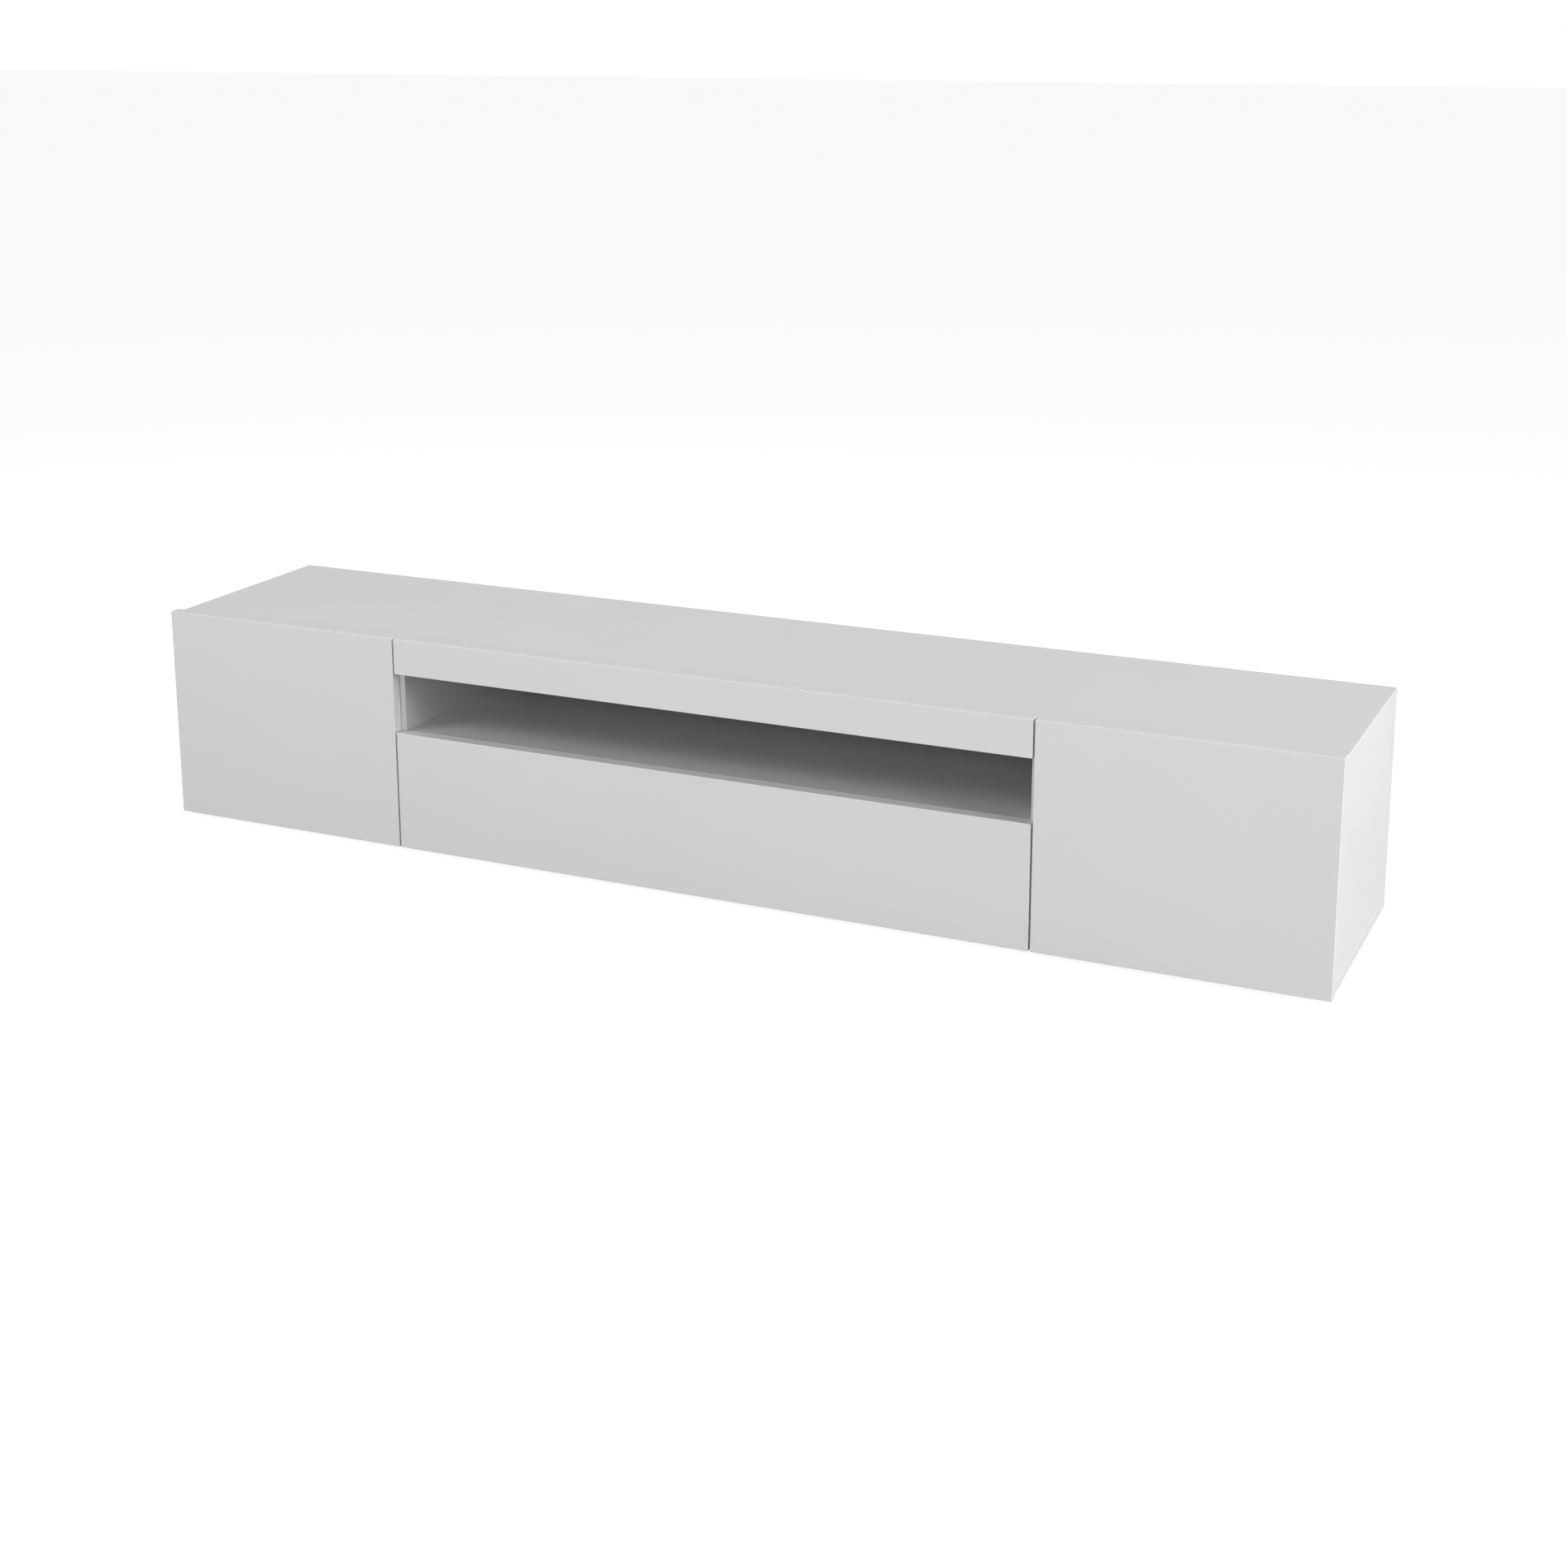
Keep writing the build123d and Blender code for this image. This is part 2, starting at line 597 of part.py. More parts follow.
with BuildPart() as cam_locks:
    for kind, plane, _, _ in fixings:
        if kind == "cam":
            rod((board / 2, 0, cam_setback), (-1, 0, 0), cam_radius, cam_depth, plane)
            rod((0, 0, cam_setback - cam_radius), up, bolt_head_radius + snug, cam_radius + bolt_head_length,
                plane, Mode.SUBTRACT)
            for wide, high in ((cam_slot_length, cam_slot_width), (cam_slot_width, cam_slot_length)):
                block((board / 2 - recess_depth, board / 2), (-wide / 2, wide / 2),
                      (cam_setback - high / 2, cam_setback + high / 2), plane, Mode.SUBTRACT)
save(cam_locks, "cam_locks")

with BuildPart() as cam_bolts:
    for kind, plane, _, _ in fixings:
        if kind == "cam":
            rod((0, 0, -bolt_thread_length), up, bolt_thread_radius, bolt_thread_length, plane)
            rod((0, 0, 0), up, bolt_shank_radius, cam_setback, plane)
            rod((0, 0, cam_setback - bolt_head_length / 2), up, bolt_head_radius, bolt_head_length, plane)
save(cam_bolts, "cam_bolts")

with BuildPart() as dowels:
    for kind, plane, _, _ in fixings:
        if kind == "dowel":
            rod((0, 0, -dowel_in_face), up, dowel_radius, dowel_in_face + dowel_in_edge, plane)
save(dowels, "dowels")

with BuildPart() as carcass_screws:
    for kind, plane, _, _ in fixings:
        if kind == "confirmat":
            rod((0, 0, -board), up, confirmat_shank_radius, board, plane)
            rod((0, 0, 0), up, confirmat_thread_radius, confirmat_thread_length, plane)
            rod((0, 0, -board), up, confirmat_head_radius, confirmat_head_length, plane)
            with Locations(plane):
                with Locations((0, 0, -board)):
                    with BuildSketch():
                        RegularPolygon(confirmat_socket_radius, 6)
                    extrude(amount=confirmat_socket_depth, mode=Mode.SUBTRACT)
save(carcass_screws, "carcass_screws")

with BuildPart() as rail_screws:
    for x in rail_front_screw_x:
        wood_screw((x, rail_y[1], rail_z + rail_height / 2), forward, board + rail_screw_bite)
    for x in rail_top_screw_x:
        wood_screw((x, sum(rail_y) / 2, rail_z), up, rail_height + rail_screw_bite)
save(rail_screws, "rail_screws")

with BuildPart() as floor_glides:
    for x, y in glide_places:
        rod((x, y, 0), up, glide_radius, z_bottom)
        rod((x, y, z_bottom), up, glide_spigot_radius, glide_spigot_length)
    chamfer(floor_glides.edges().group_by(Axis.Z)[0], glide_chamfer)
save(floor_glides, "floor_glides")
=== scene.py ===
"""Low white lacquered television cabinet: finishes, hardware, floor, light and camera."""

import json
import math

import bmesh
import bpy
from mathutils import Matrix, Quaternion, Vector


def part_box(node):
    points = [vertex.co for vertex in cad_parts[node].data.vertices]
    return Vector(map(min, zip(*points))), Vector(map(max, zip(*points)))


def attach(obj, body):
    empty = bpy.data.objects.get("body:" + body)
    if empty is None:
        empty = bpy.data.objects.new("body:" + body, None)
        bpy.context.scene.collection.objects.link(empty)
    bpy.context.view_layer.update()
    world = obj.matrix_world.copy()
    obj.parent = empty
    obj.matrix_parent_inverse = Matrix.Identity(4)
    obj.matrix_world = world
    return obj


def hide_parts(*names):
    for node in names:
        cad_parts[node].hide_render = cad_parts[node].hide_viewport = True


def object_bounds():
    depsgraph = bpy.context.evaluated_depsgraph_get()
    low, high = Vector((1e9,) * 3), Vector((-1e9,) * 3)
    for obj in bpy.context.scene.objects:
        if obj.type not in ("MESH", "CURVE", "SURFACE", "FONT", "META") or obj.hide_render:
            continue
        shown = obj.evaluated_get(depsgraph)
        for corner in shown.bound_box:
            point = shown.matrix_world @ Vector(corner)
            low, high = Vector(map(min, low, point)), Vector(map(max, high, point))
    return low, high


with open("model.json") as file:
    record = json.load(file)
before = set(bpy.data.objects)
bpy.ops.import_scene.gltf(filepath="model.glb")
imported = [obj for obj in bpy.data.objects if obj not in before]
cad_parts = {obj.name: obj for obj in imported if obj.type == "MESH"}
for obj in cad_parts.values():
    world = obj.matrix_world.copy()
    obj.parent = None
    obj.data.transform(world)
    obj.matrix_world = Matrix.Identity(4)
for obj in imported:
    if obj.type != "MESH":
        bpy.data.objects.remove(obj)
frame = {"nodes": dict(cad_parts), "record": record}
cad_low, cad_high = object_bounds()
nodes = frame["nodes"]
MM = 0.001
X, Y, Z = range(3)
SIDES = ("left", "right", "flap")   # the three fronts that carry hinges
WELD = 0.01 * MM                    # vertices nearer than this are one
SMOOTH = math.radians(28)           # edges flatter than this are shaded smooth
SHARP = math.radians(50)            # edges steeper than this are eased
SHORTEST_EASED = 1.2 * MM           # shorter edges, such as those round small holes, stay sharp
FLAT = math.radians(0.5)            # faces closer than this to one plane are joined


# ------------------------------------------------------------------ colours and shader nodes
def linear(code):
    """Linear RGBA of an sRGB hex colour."""
    parts = [int(code[i:i + 2], 16) / 255 for i in (0, 2, 4)]
    return tuple(c / 12.92 if c <= 0.04045 else ((c + 0.055) / 1.055) ** 2.4 for c in parts) + (1.0,)


def add_node(material, kind, settings=None, links=None, **values):
    """Add one shader node: settings are its own properties, values its inputs, links its sources."""
    node = material.node_tree.nodes.new(kind)
    for key, value in (settings or {}).items():
        setattr(node, key, value)
    for key, value in values.items():
        node.inputs[key.replace("_", " ")].default_value = value
    for key, source in (links or {}).items():
        material.node_tree.links.new(source, node.inputs[key])
    return node


def start_material(name):
    """A new node material with only its output, and that output."""
    material = bpy.data.materials.new(name)
    material.use_nodes = True
    material.node_tree.nodes.clear()
    return material, add_node(material, "ShaderNodeOutputMaterial")


def surface(material, output, colour, roughness, bump=None, **values):
    """Join a Principled shader to the output; colour and roughness are values or node outputs."""
    shader = add_node(material, "ShaderNodeBsdfPrincipled", **values)
    for socket, value in (("Base Color", colour), ("Roughness", roughness)):
        if hasattr(value, "is_linked"):
            material.node_tree.links.new(value, shader.inputs[socket])
        else:
            shader.inputs[socket].default_value = value
    if bump is not None:
        material.node_tree.links.new(bump, shader.inputs["Normal"])
    material.node_tree.links.new(shader.outputs["BSDF"], output.inputs["Surface"])


def noise(material, size_mm, detail=2.0, roughness=0.5, stretch=(1, 1, 1)):
    """Noise over the piece's own space, with blobs about size_mm across, stretched along the axes."""
    place = add_node(material, "ShaderNodeTexCoord").outputs["Object"]
    scaled = add_node(material, "ShaderNodeMapping", links={"Vector": place}, Scale=stretch)
    return add_node(material, "ShaderNodeTexNoise", links={"Vector": scaled.outputs["Vector"]},
                    Scale=1 / (size_mm * MM), Detail=detail, Roughness=roughness).outputs["Fac"]


def spread(material, source, low, high):
    """Stretch the middle half of a 0 to 1 pattern to the range from low to high."""
    return add_node(material, "ShaderNodeMapRange", links={"Value": source}, To_Min=low, To_Max=high,
                    From_Min=0.25, From_Max=0.75).outputs["Result"]


def two_tone(material, source, dark, light):
    """Mix two colours by a pattern."""
    mix = add_node(material, "ShaderNodeMix", {"data_type": "RGBA"})
    factor, first, second, result = mix.inputs[0], mix.inputs[6], mix.inputs[7], mix.outputs[2]
    first.default_value = linear(dark)
    second.default_value = linear(light)
    material.node_tree.links.new(source, factor)
    return result


def relief(material, source, height_mm):
    """Bump from a pattern, with its height in millimetres."""
    return add_node(material, "ShaderNodeBump", links={"Height": source}, Distance=height_mm * MM,
                    Strength=1.0).outputs["Normal"]


# ------------------------------------------------------------------ finishes
def sprayed_lacquer(name, dark, light, sheen):
    """Polyurethane lacquer sprayed on fibreboard: even white, a soft gloss and a faint orange peel."""
    material, output = start_material(name)
    cloud = noise(material, 180, detail=3)
    peel = noise(material, 5, detail=1)
    surface(material, output, two_tone(material, cloud, dark, light),
            spread(material, cloud, sheen - 0.03, sheen + 0.03), relief(material, peel, 0.012),
            IOR=1.5, Coat_Weight=0.25, Coat_Roughness=0.12, Coat_IOR=1.5)
    return material


def melamine(name, dark, light):
    """Melamine-faced chipboard: a matt pearl face with a fine printed grain."""
    material, output = start_material(name)
    pearl = noise(material, 1.6, detail=2)
    surface(material, output, two_tone(material, pearl, dark, light),
            spread(material, pearl, 0.42, 0.56), relief(material, pearl, 0.02), IOR=1.5)
    return material


def painted_hardboard(name, dark, light):
    """Hardboard with a rolled-on paint: flat and slightly mottled, with short fibres under it."""
    material, output = start_material(name)
    fibre = noise(material, 2.5, detail=4, stretch=(0.3, 1, 1))
    surface(material, output, two_tone(material, fibre, dark, light),
            spread(material, fibre, 0.6, 0.75), relief(material, fibre, 0.05), IOR=1.5)
    return material


def nickel_plate(name, dark, light, sheen):
    """Nickel-plated pressed steel: warm bright metal, evenly dulled by the plating barrel."""
    material, output = start_material(name)
    scuff = noise(material, 3, detail=2)
    surface(material, output, two_tone(material, scuff, dark, light),
            spread(material, scuff, sheen - 0.04, sheen + 0.04), relief(material, scuff, 0.004),
            Metallic=1.0)
    return material


def die_cast_zinc(name):
    """Zinc die casting: dull grey metal with a grainy skin."""
    material, output = start_material(name)
    grain = noise(material, 0.6, detail=4)
    surface(material, output, two_tone(material, grain, "8C8C8E", "B5B5B6"),
            spread(material, grain, 0.45, 0.62), relief(material, grain, 0.02), Metallic=1.0)
    return material


def moulded_plastic(name, dark, light):
    """Injection-moulded ABS with a fine spark-eroded texture."""
    material, output = start_material(name)
    grit = noise(material, 0.5, detail=2)
    surface(material, output, two_tone(material, grit, dark, light),
            spread(material, grit, 0.4, 0.55), relief(material, grit, 0.015), IOR=1.53)
    return material


def beech(name):
    """Turned beech: pale pinkish brown with short dark flecks along the peg."""
    material, output = start_material(name)
    fleck = noise(material, 1.2, detail=3, stretch=(1, 1, 0.15))
    surface(material, output, two_tone(material, fleck, "B98F63", "D9B78C"),
            spread(material, fleck, 0.55, 0.7), relief(material, fleck, 0.03), IOR=1.45)
    return material


def clear_rubber(name):
    """Soft clear polyurethane: cloudy and slightly yellow."""
    material, output = start_material(name)
    cloud = noise(material, 2, detail=1)
    surface(material, output, two_tone(material, cloud, "DADAD4", "EEEEE9"),
            spread(material, cloud, 0.18, 0.28), relief(material, cloud, 0.01),
            IOR=1.49, Transmission_Weight=0.55)
    return material


lacquer = sprayed_lacquer("white_sprayed_lacquer", "DBDBDB", "DEDEDE", 0.33)
# Partitions and niche shelf: the same white lacquer as outside, painted darker grey as painted shade inside
# the niche
niche_lacquer_painted_shade = sprayed_lacquer("inner_lacquer_painted_shade", "C0C0C0", "C6C6C6", 0.36)
inner_board = melamine("white_melamine", "D0D0D0", "D8D8D8")
# Back boards: hardboard painted dark grey as painted shade of the unlit interior and the niche back
back_painted_shade = painted_hardboard("dark_hardboard_painted_shade", "4A4A4A", "535353")
nickel = nickel_plate("nickel_plated_steel", "DAD7D2", "E2E0DC", 0.27)
zinc = die_cast_zinc("die_cast_zinc")
white_plastic = moulded_plastic("white_moulded_plastic", "D4D4D2", "DEDEDC")
grey_plastic = moulded_plastic("grey_moulded_plastic", "8E9092", "9C9EA0")
peg_wood = beech("turned_beech")
bumper_rubber = clear_rubber("clear_polyurethane")

FINISHES = {
    "top_panel": lacquer,
    "bottom_panel": lacquer,
    "left_side_panel": lacquer,
    "right_side_panel": lacquer,
    "fascia": lacquer,
    "left_door": lacquer,
    "right_door": lacquer,
    "flap": lacquer,
    # The niche walls and shelf take the darker lacquer: painted shade
    "left_partition": niche_lacquer_painted_shade,
    "right_partition": niche_lacquer_painted_shade,
    "niche_shelf": niche_lacquer_painted_shade,
    "fascia_rail": inner_board,
    "left_shelf": inner_board,
    "right_shelf": inner_board,
    # The back boards take the dark grey: painted shade
    "left_back_panel": back_painted_shade,
    "centre_back_panel": back_painted_shade,
    "right_back_panel": back_painted_shade,
    "dowels": peg_wood,
    "cam_locks": zinc,
    "door_bumpers": bumper_rubber,
    "floor_glides": white_plastic,
    "latch_housings": grey_plastic,
}
PLUNGERS = [node for node in nodes if node.endswith("plunger")]


def finish_node(name, obj):
    """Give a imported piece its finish: the one listed, plastic for a plunger, or nickel plate."""
    material = FINISHES.get(name, white_plastic if name in PLUNGERS else nickel)
    for slot in obj.material_slots:
        slot.material = material
    if not obj.material_slots:
        obj.data.materials.append(material)


for node_name, node_object in nodes.items():
    finish_node(node_name, node_object)


# ------------------------------------------------------------------ pieces with their worked edges
def islands(name):
    """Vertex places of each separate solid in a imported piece."""
    shape = bmesh.new()
    shape.from_mesh(nodes[name].data)
    bmesh.ops.remove_doubles(shape, verts=shape.verts, dist=WELD)
    found = []
    waiting = set(shape.verts)
    while waiting:
        island = [waiting.pop()]
        for vert in island:
            for edge in vert.link_edges:
                other = edge.other_vert(vert)
                if other in waiting:
                    waiting.remove(other)
                    island.append(other)
        found.append(sorted(tuple(vert.co) for vert in island))
    shape.free()
    return sorted(found)


def corners(points):
    """Lowest and highest corners of some points."""
    return Vector(map(min, zip(*points))), Vector(map(max, zip(*points)))


def solids(name):
    """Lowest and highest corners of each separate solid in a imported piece."""
    return [corners(points) for points in islands(name)]


def body_of(node):
    """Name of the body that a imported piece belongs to."""
    for body, members in frame["record"]["behaviour"]["bodies"].items():
        if node in members:
            return body


def add_piece(name, shape, material, node):
    """Make an object of a finished shape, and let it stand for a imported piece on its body."""
    bmesh.ops.remove_doubles(shape, verts=shape.verts, dist=WELD)
    bmesh.ops.recalc_face_normals(shape, faces=shape.faces)
    mesh = bpy.data.meshes.new(name)
    shape.to_mesh(mesh)
    shape.free()
    mesh.shade_smooth()
    mesh.set_sharp_from_angle(angle=SMOOTH)
    mesh.materials.append(material)
    piece = bpy.data.objects.new(name, mesh)
    bpy.context.scene.collection.objects.link(piece)
    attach(piece, body_of(node))
    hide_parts(node)


def eased_copy(node, ease_mm, segments=1):
    """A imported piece's shape with its sharp edges rounded, as pressing or moulding leaves them."""
    shape = bmesh.new()
    shape.from_mesh(nodes[node].data)
    bmesh.ops.remove_doubles(shape, verts=shape.verts, dist=WELD)
    bmesh.ops.dissolve_limit(shape, angle_limit=FLAT, verts=shape.verts, edges=shape.edges)
    sharp = [edge for edge in shape.edges if edge.calc_length() > SHORTEST_EASED
             and edge.calc_face_angle(0) > SHARP]
    bmesh.ops.bevel(shape, geom=sharp, offset=ease_mm * MM, segments=segments, affect="EDGES",
                    profile=0.5, material=-1)
    return shape


def turned(shape, profile, start, along, closed=False, steps=32):
    """Spin (radius, distance) points in millimetres about the line that runs along from start."""
    place = Matrix.Translation(start) @ along.to_track_quat("Z", "Y").to_matrix().to_4x4()
    verts = [shape.verts.new(place @ Vector((radius * MM, 0, out * MM))) for radius, out in profile]
    edges = [shape.edges.new(pair) for pair in zip(verts, verts[1:])]
    if closed:
        edges.append(shape.edges.new((verts[-1], verts[0])))
    bmesh.ops.spin(shape, geom=verts + edges, cent=start, axis=along, angle=2 * math.pi,
                   steps=steps, use_merge=True)


def middle_of(box):
    """Centre of a box."""
    low, high = box
    return (low + high) / 2


def end_of(box, axis, sign):
    """Centre of the end of a box that lies towards a sign of an axis."""
    point = middle_of(box)
    point[axis] = box[sign > 0][axis]
    return point


def pressed_steel():
    """Hinge plates, arms and strike plates, with the soft edges of stamped steel."""
    for side in SIDES:
        for made, piece, ease_mm in (("stamped", "hinge_plates", 0.5), ("pressed", "hinge_arms", 0.45),
                                     ("stamped", "strike_plates", 0.3)):
            node = f"{side}_{piece}"
            add_piece(f"{side}_{made}_{piece}", eased_copy(node, ease_mm), nickel, node)


# Rolled rim of a hinge cup: the radius of its bore and of its outside, and its height over the board.
CUP_BORE = 16.45
CUP_RIM = 18.5
RIM_HEIGHT = 1.1
ROLLED_RIM = [(CUP_BORE + 0.1, 0.05), (CUP_BORE + 0.1, RIM_HEIGHT - 0.3), (CUP_BORE + 0.4, RIM_HEIGHT),
              (CUP_RIM - 0.8, RIM_HEIGHT), (CUP_RIM - 0.2, RIM_HEIGHT - 0.5), (CUP_RIM, 0.05)]


def drawn_cups():
    """Deep-drawn hinge cups with a rolled rim round each bore."""
    for side in SIDES:
        node = f"{side}_hinge_cups"
        front = "flap" if side == "flap" else f"{side}_door"
        inner_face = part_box(front)[1].y
        shape = eased_copy(node, 0.3)
        for box in solids(node):
            centre = middle_of(box)
            centre.y = inner_face
            turned(shape, ROLLED_RIM, centre, Vector((0, 1, 0)), closed=True, steps=64)
        add_piece(f"{side}_drawn_hinge_cups", shape, nickel, node)


# Push-latch body: the collar round its plunger, and the ribs across its case, in millimetres.
COLLAR = [(4.1, 0.3), (4.1, -1.1), (4.5, -1.5), (5.4, -1.5), (5.9, -1.0), (5.9, 0.3)]
RIBS = 4
FIRST_RIB = 16
RIB_PITCH = 7
RIB_WIDTH = 1.2
RIB_HEIGHT = 11
RIB_LENGTH = 14.8
RIB_EASE = 0.25


def moulded_rib(shape, middle, size):
    """A bar with rounded edges, centred on middle."""
    made = bmesh.ops.create_cube(shape, size=1)["verts"]
    bmesh.ops.scale(shape, vec=size, verts=made)
    bmesh.ops.translate(shape, vec=middle, verts=made)
    edges = {edge for vert in made for edge in vert.link_edges}
    bmesh.ops.bevel(shape, geom=list(edges), offset=RIB_EASE * MM, segments=2, affect="EDGES",
                    profile=0.5, material=-1)


def latch_bodies():
    """Moulded push-latch bodies with a collar round the plunger and ribs across the case."""
    shape = eased_copy("latch_housings", 0.6, segments=3)
    for box in solids("latch_housings"):
        low, high = box
        mouth = end_of(box, Y, -1)
        plunger = min(PLUNGERS, key=lambda node: (middle_of(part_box(node)) - mouth).length)
        stem = middle_of(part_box(plunger))
        turned(shape, COLLAR, Vector((stem.x, low.y, stem.z)), Vector((0, 1, 0)), closed=True, steps=40)
        # On a partition the case stands out sideways; under the niche shelf it hangs down.
        out, across = (X, Z) if high.z - low.z > high.x - low.x else (Z, X)
        size = Vector((0, RIB_WIDTH * MM, 0))
        size[out] = RIB_HEIGHT * MM
        size[across] = RIB_LENGTH * MM
        for rib in range(RIBS):
            rib_y = low.y + (FIRST_RIB + rib * RIB_PITCH) * MM
            moulded_rib(shape, Vector((stem.x, rib_y, stem.z)), size)
    add_piece("moulded_latch_bodies", shape, grey_plastic, "latch_housings")


def latch_plungers():
    """Push-latch plungers: a domed nose and a stem with a waist."""
    for name in PLUNGERS:
        low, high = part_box(name)
        radius = (high.x - low.x) / 2 / MM
        length = (high.y - low.y) / MM
        waist = radius - 0.35
        stem = [(0, 0), (radius * 0.45, 0.12), (radius * 0.75, 0.5), (radius * 0.93, 1.1), (radius, 2.0),
                (radius, 3.2), (waist, 3.4), (waist, 4.2), (radius, 4.4),
                (radius, length - 0.5), (radius - 0.5, length), (0, length)]
        shape = bmesh.new()
        turned(shape, stem, end_of((low, high), Y, -1), Vector((0, 1, 0)), steps=40)
        add_piece(f"{name}_turned", shape, white_plastic, name)


# Spigot of a floor glide, with the ribs that grip its hole, in millimetres.
SPIGOT_RADIUS = 3.0
SPIGOT_RIBS = 3
SPIGOT_RIB_PITCH = 2.1


def foot_glides():
    """Round glides with a rounded skirt, a hollow sole and a ribbed spigot."""
    shape = bmesh.new()
    for low, high in solids("floor_glides"):
        radius = (high.x - low.x) / 2 / MM
        seat = (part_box("bottom_panel")[0].z - low.z) / MM
        top = (high.z - low.z) / MM
        glide = [(0, 0.6), (radius - 5, 0.6), (radius - 4, 0), (radius - 2.2, 0), (radius - 0.7, 0.7),
                 (radius, 2.2), (radius, seat - 0.8), (radius - 0.8, seat), (SPIGOT_RADIUS, seat)]
        for rib in range(SPIGOT_RIBS):
            base = seat + 1.2 + rib * SPIGOT_RIB_PITCH
            glide += [(SPIGOT_RADIUS - 0.4, base), (SPIGOT_RADIUS, base + 0.6), (SPIGOT_RADIUS, base + 1.2)]
        glide += [(SPIGOT_RADIUS - 0.5, top - 0.3), (SPIGOT_RADIUS - 1.2, top), (0, top)]
        turned(shape, glide, end_of((low, high), Z, -1), Vector((0, 0, 1)), steps=40)
    add_piece("moulded_floor_glides", shape, white_plastic, "floor_glides")


def bumper_pads():
    """Domed stick-on pads."""
    shape = bmesh.new()
    for low, high in solids("door_bumpers"):
        radius = (high.x - low.x) / 2 / MM
        thick = (high.y - low.y) / MM
        dome = [(0, thick), (radius * 0.5, thick * 0.93), (radius * 0.8, thick * 0.72),
                (radius * 0.96, thick * 0.35), (radius, 0.12 * thick), (radius, 0), (0, 0)]
        turned(shape, dome, end_of((low, high), Y, 1), Vector((0, -1, 0)))
    add_piece("domed_bumper_pads", shape, bumper_rubber, "door_bumpers")


# Shelf pin from its end in the board to its nose: peg, collar and the rest for the shelf.
SHELF_PIN = [(0, 0), (1.9, 0), (2.5, 0.6), (2.5, 8), (4.4, 8), (4.8, 8.4), (4.8, 9.1), (4.4, 9.5),
             (3.5, 9.6), (3.5, 16.2), (3.0, 16.9), (2.4, 17), (0, 17)]


def shelf_supports():
    """Turned shelf pins with a collar against the board and a rounded nose."""
    shape = bmesh.new()
    for box in solids("shelf_pins"):
        pin_x = middle_of(box).x
        shelf = "left_shelf" if pin_x < 0 else "right_shelf"
        inward = 1 if pin_x < middle_of(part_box(shelf)).x else -1
        turned(shape, SHELF_PIN, end_of(box, X, -inward), Vector((inward, 0, 0)))
    add_piece("turned_shelf_pins", shape, nickel, "shelf_pins")


# Cross recess in a screw's head: reach and half width of an arm, its edge on the head, its depth.
RECESS_ARM = 1.55
RECESS_HALF_WIDTH = 0.42
RECESS_RIM = 2.1
RECESS_DIP = 0.06
RECESS_DEPTH = 1.1
RECESS_TAPER = 0.7
SCREW_STEPS = 36                    # three times the corners of a cross
# Threaded shank: radius between and on the threads, their distance, and the length of the point.
THREAD_ROOT = 1.1
THREAD_CREST = 1.5
THREAD_PITCH = 1.5
THREAD_START = 2.2
POINT_LENGTH = 1.5
PAN_HEIGHT = 2.2
END_ZONE = 0.3 * MM                 # how near to an end a vertex counts as lying on it


def cross_head_screw(shape, top, inward, profile):
    """A screw turned from its rim down to its point, with a cross recess closing the top."""
    turned(shape, profile, top, inward, steps=SCREW_STEPS)
    point = top + inward * profile[-1][1] * MM
    poles = [vert for vert in shape.verts if (vert.co - point).length < WELD]
    bmesh.ops.remove_doubles(shape, verts=poles, dist=WELD)
    rim = [edge for edge in shape.edges if edge.is_boundary]
    place = Matrix.Translation(top) @ inward.to_track_quat("Z", "Y").to_matrix().to_4x4()
    arm, half = RECESS_ARM, RECESS_HALF_WIDTH
    cross = [(arm, -half), (arm, half), (half, half), (half, arm), (-half, arm), (-half, half),
             (-arm, half), (-arm, -half), (-half, -half), (-half, -arm), (half, -arm), (half, -half)]
    verts = [shape.verts.new(place @ (Vector((x, y, RECESS_DIP)) * MM)) for x, y in cross]
    outline = [shape.edges.new((verts[i - 1], verts[i])) for i in range(len(verts))]
    bmesh.ops.subdivide_edges(shape, edges=outline, cuts=SCREW_STEPS // len(cross) - 1)
    mouth = [edge for edge in shape.edges if edge.is_wire]
    bmesh.ops.bridge_loops(shape, edges=rim + mouth)
    mouth = [edge for edge in shape.edges if edge.is_boundary]
    walls = bmesh.ops.extrude_edge_only(shape, edges=mouth)["geom"]
    deep = [item for item in walls if isinstance(item, bmesh.types.BMVert)]
    drop = inward * RECESS_DEPTH * MM
    bmesh.ops.translate(shape, vec=drop, verts=deep)
    bmesh.ops.scale(shape, vec=(RECESS_TAPER,) * 3, verts=deep, space=Matrix.Translation(-(top + drop)))
    floor = [edge for edge in shape.edges if edge.is_boundary]
    bmesh.ops.holes_fill(shape, edges=floor, sides=SCREW_STEPS)


def pan_head(head, shank, length):
    """Profile of a machine screw with a domed head."""
    return [(RECESS_RIM, 0), (head * 0.8, 0.3), (head - 0.15, 1.0), (head, 1.5), (head, PAN_HEIGHT),
            (shank, PAN_HEIGHT), (shank, length - 0.5), (shank - 0.5, length), (0, length)]


def countersunk_head(head, length):
    """Profile of a wood screw: a flat head, rings of thread and a blunt point."""
    profile = [(RECESS_RIM, 0), (head - 0.15, 0), (head, 0.2), (THREAD_CREST, 1.8)]
    thread_end = length - POINT_LENGTH
    for ring in range(int((thread_end - THREAD_START) / THREAD_PITCH)):
        base = THREAD_START + ring * THREAD_PITCH
        profile += [(THREAD_ROOT, base), (THREAD_CREST, base + THREAD_PITCH * 0.45),
                    (THREAD_ROOT, base + THREAD_PITCH * 0.6)]
    return profile + [(THREAD_ROOT, thread_end), (THREAD_ROOT * 0.3, length), (0, length)]


def end_radii(points, axis):
    """How far the vertices at the low and the high end of a screw lie from its axis."""
    box = corners(points)
    centre = middle_of(box)
    radii = [0, 0]
    for point in points:
        offset = Vector(point) - centre
        far = offset[axis] > 0
        offset[axis] = 0
        if abs(point[axis] - box[far][axis]) < END_ZONE:
            radii[far] = max(radii[far], offset.length)
    return radii


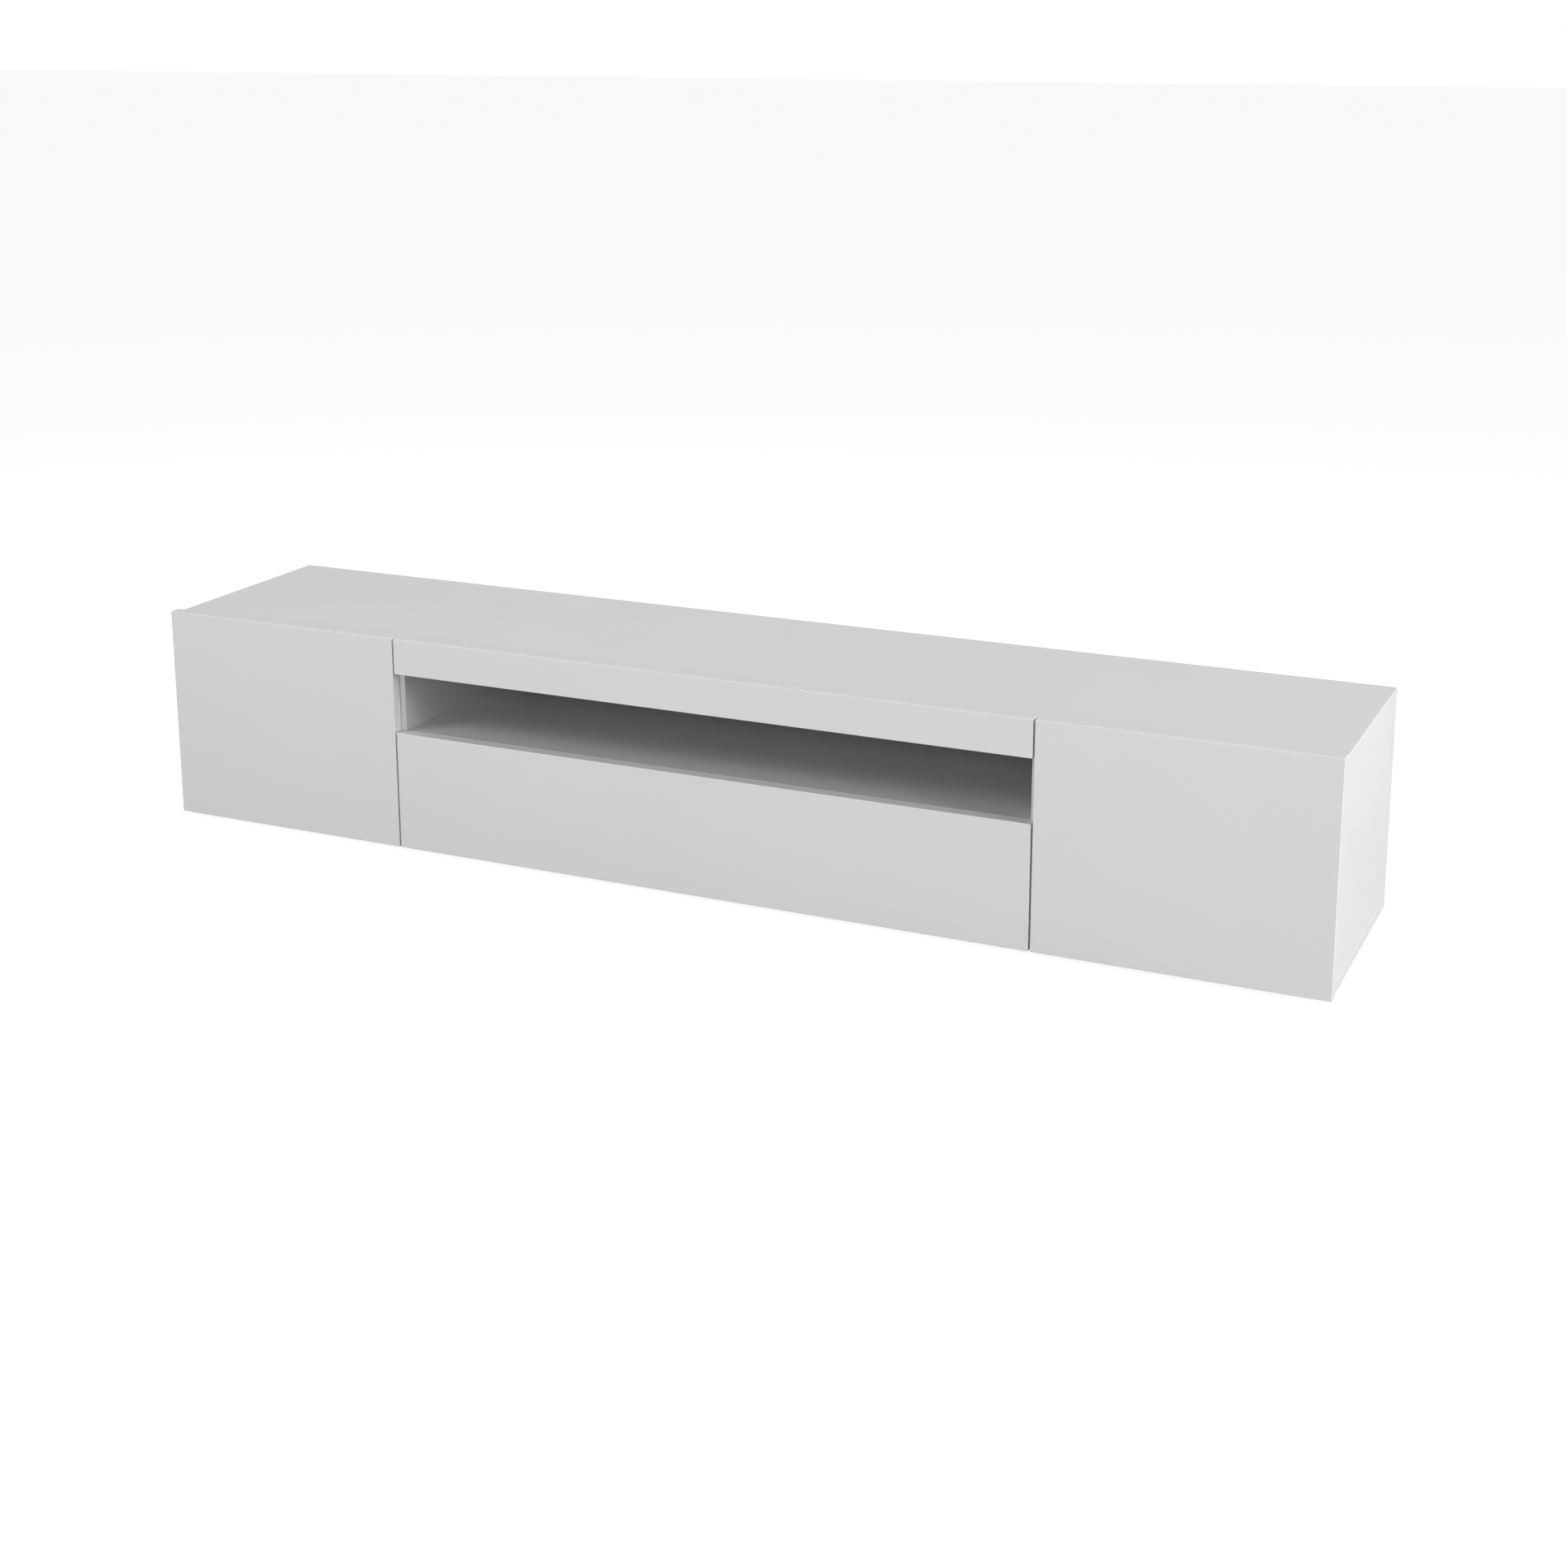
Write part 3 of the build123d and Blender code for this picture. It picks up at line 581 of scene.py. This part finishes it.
def cross_head_screws(node, name, pan=False):
    """All screws of a packed group: countersunk, or with a domed pan head."""
    shape = bmesh.new()
    for points in islands(node):
        low, high = corners(points)
        size = high - low
        axis = max(range(3), key=lambda i: size[i])
        low_radius, high_radius = end_radii(points, axis)
        sign = 1 if high_radius > low_radius else -1
        inward = Vector()
        inward[axis] = -sign
        head = max(low_radius, high_radius) / MM
        shank = min(low_radius, high_radius) / MM
        length = size[axis] / MM
        profile = pan_head(head, shank, length) if pan else countersunk_head(head, length)
        cross_head_screw(shape, end_of((low, high), axis, sign), inward, profile)
    add_piece(name, shape, nickel, node)


pressed_steel()
drawn_cups()
cross_head_screws("hinge_arm_screws", "hinge_arm_pan_screws", pan=True)
cross_head_screws("hinge_plate_screws", "hinge_plate_countersunk_screws")
cross_head_screws("latch_screws", "latch_countersunk_screws")
cross_head_screws("rail_screws", "rail_countersunk_screws")
for hinged in SIDES:
    cross_head_screws(f"{hinged}_cup_screws", f"{hinged}_cup_countersunk_screws")
latch_bodies()
latch_plungers()
foot_glides()
bumper_pads()
shelf_supports()


# ------------------------------------------------------------------ floor and light
def stage_plane(name, size, material):
    """A square floor on Z = 0, reaching size metres each way."""
    mesh = bpy.data.meshes.new(name)
    shape = bmesh.new()
    bmesh.ops.create_grid(shape, x_segments=1, y_segments=1, size=size)
    shape.to_mesh(mesh)
    shape.free()
    obj = bpy.data.objects.new(name, mesh)
    mesh.materials.append(material)
    bpy.context.scene.collection.objects.link(obj)


def studio_floor():
    """Pale seamless floor: it glows almost white to the camera and reflects little light upwards."""
    material, output = start_material("pale_floor")
    seen = add_node(material, "ShaderNodeLightPath").outputs["Is Camera Ray"]
    diffuse = add_node(material, "ShaderNodeBsdfDiffuse")
    diffuse.inputs["Color"].default_value = (0.25, 0.25, 0.25, 1)
    glow = add_node(material, "ShaderNodeEmission", links={"Strength": seen})
    glow.inputs["Color"].default_value = (0.9, 0.9, 0.9, 1)
    both = add_node(material, "ShaderNodeAddShader")
    material.node_tree.links.new(diffuse.outputs[0], both.inputs[0])
    material.node_tree.links.new(glow.outputs[0], both.inputs[1])
    material.node_tree.links.new(both.outputs[0], output.inputs["Surface"])
    return material


stage_plane("studio_floor", 40, studio_floor())


def area_light(name, place, aim, size, power, mirrored=False):
    """A soft box at place, turned to aim. Only a mirrored one shows in gloss."""
    data = bpy.data.lights.new(name, "AREA")
    data.shape = "RECTANGLE"
    data.size, data.size_y = size
    data.energy = power
    data.specular_factor = 0.25
    obj = bpy.data.objects.new(name, data)
    obj.location = place
    obj.rotation_euler = (Vector(aim) - Vector(place)).to_track_quat("-Z", "Y").to_euler()
    obj.visible_glossy = mirrored
    bpy.context.scene.collection.objects.link(obj)


area_light("right_softbox", (4.6, -0.3, 1.5), (0.9, 0, 0.3), (2.4, 1.6), 218)
area_light("front_softbox", (0.8, -5.0, 1.5), (0.3, 0, 0.3), (3.5, 1.6), 140)
area_light("high_left_softbox", (-2.6, -2.4, 2.6), (0, 0, 0.2), (1.6, 1.6), 54, mirrored=True)
area_light("overhead_softbox", (-0.6, 1.0, 2.4), (-0.6, 0.2, 0), (3.4, 1.2), 27, mirrored=True)


def studio_world():
    """Dim even light, brighter in reflections, in front of a white backdrop."""
    world = bpy.data.worlds.new("studio_light")
    world.use_nodes = True
    world.node_tree.nodes.clear()
    direction = add_node(world, "ShaderNodeTexCoord").outputs["Generated"]
    height = add_node(world, "ShaderNodeSeparateXYZ", links={"Vector": direction}).outputs["Z"]
    sky = add_node(world, "ShaderNodeMapRange", links={"Value": height}, To_Min=0.1, To_Max=0.2)
    ray = add_node(world, "ShaderNodeLightPath").outputs
    strength = add_node(world, "ShaderNodeMix", B=0.35,
                        links={"Factor": ray["Is Glossy Ray"], "A": sky.outputs["Result"]})
    room = add_node(world, "ShaderNodeBackground", links={"Strength": strength.outputs["Result"]})
    backdrop = add_node(world, "ShaderNodeBackground", Strength=1.0)
    for shader in (room, backdrop):
        shader.inputs["Color"].default_value = (1, 1, 1, 1)
    chooser = add_node(world, "ShaderNodeMixShader", links={"Fac": ray["Is Camera Ray"]})
    world.node_tree.links.new(room.outputs[0], chooser.inputs[1])
    world.node_tree.links.new(backdrop.outputs[0], chooser.inputs[2])
    add_node(world, "ShaderNodeOutputWorld", links={"Surface": chooser.outputs[0]})
    return world


bpy.context.scene.world = studio_world()
bpy.context.scene.view_settings.view_transform = "Standard"

# ------------------------------------------------------------------ camera
CAMERA_ROLL = math.radians(-0.085)
front_bottom = Vector((0, cad_low.y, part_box("flap")[0].z))
camera_data = bpy.data.cameras.new("camera")
camera_data.sensor_width = 36
camera_data.lens = 54.28
camera_data.shift_y = -0.1338
camera = bpy.data.objects.new("camera", camera_data)
camera.location = front_bottom + Vector((1.5772, -3.1404, 1.3647))
look = Vector((-0.40172, 0.88557, -0.23321))
camera.rotation_mode = "QUATERNION"
camera.rotation_quaternion = look.to_track_quat("-Z", "Y") @ Quaternion((0, 0, 1), CAMERA_ROLL)
bpy.context.scene.collection.objects.link(camera)
bpy.context.scene.camera = camera
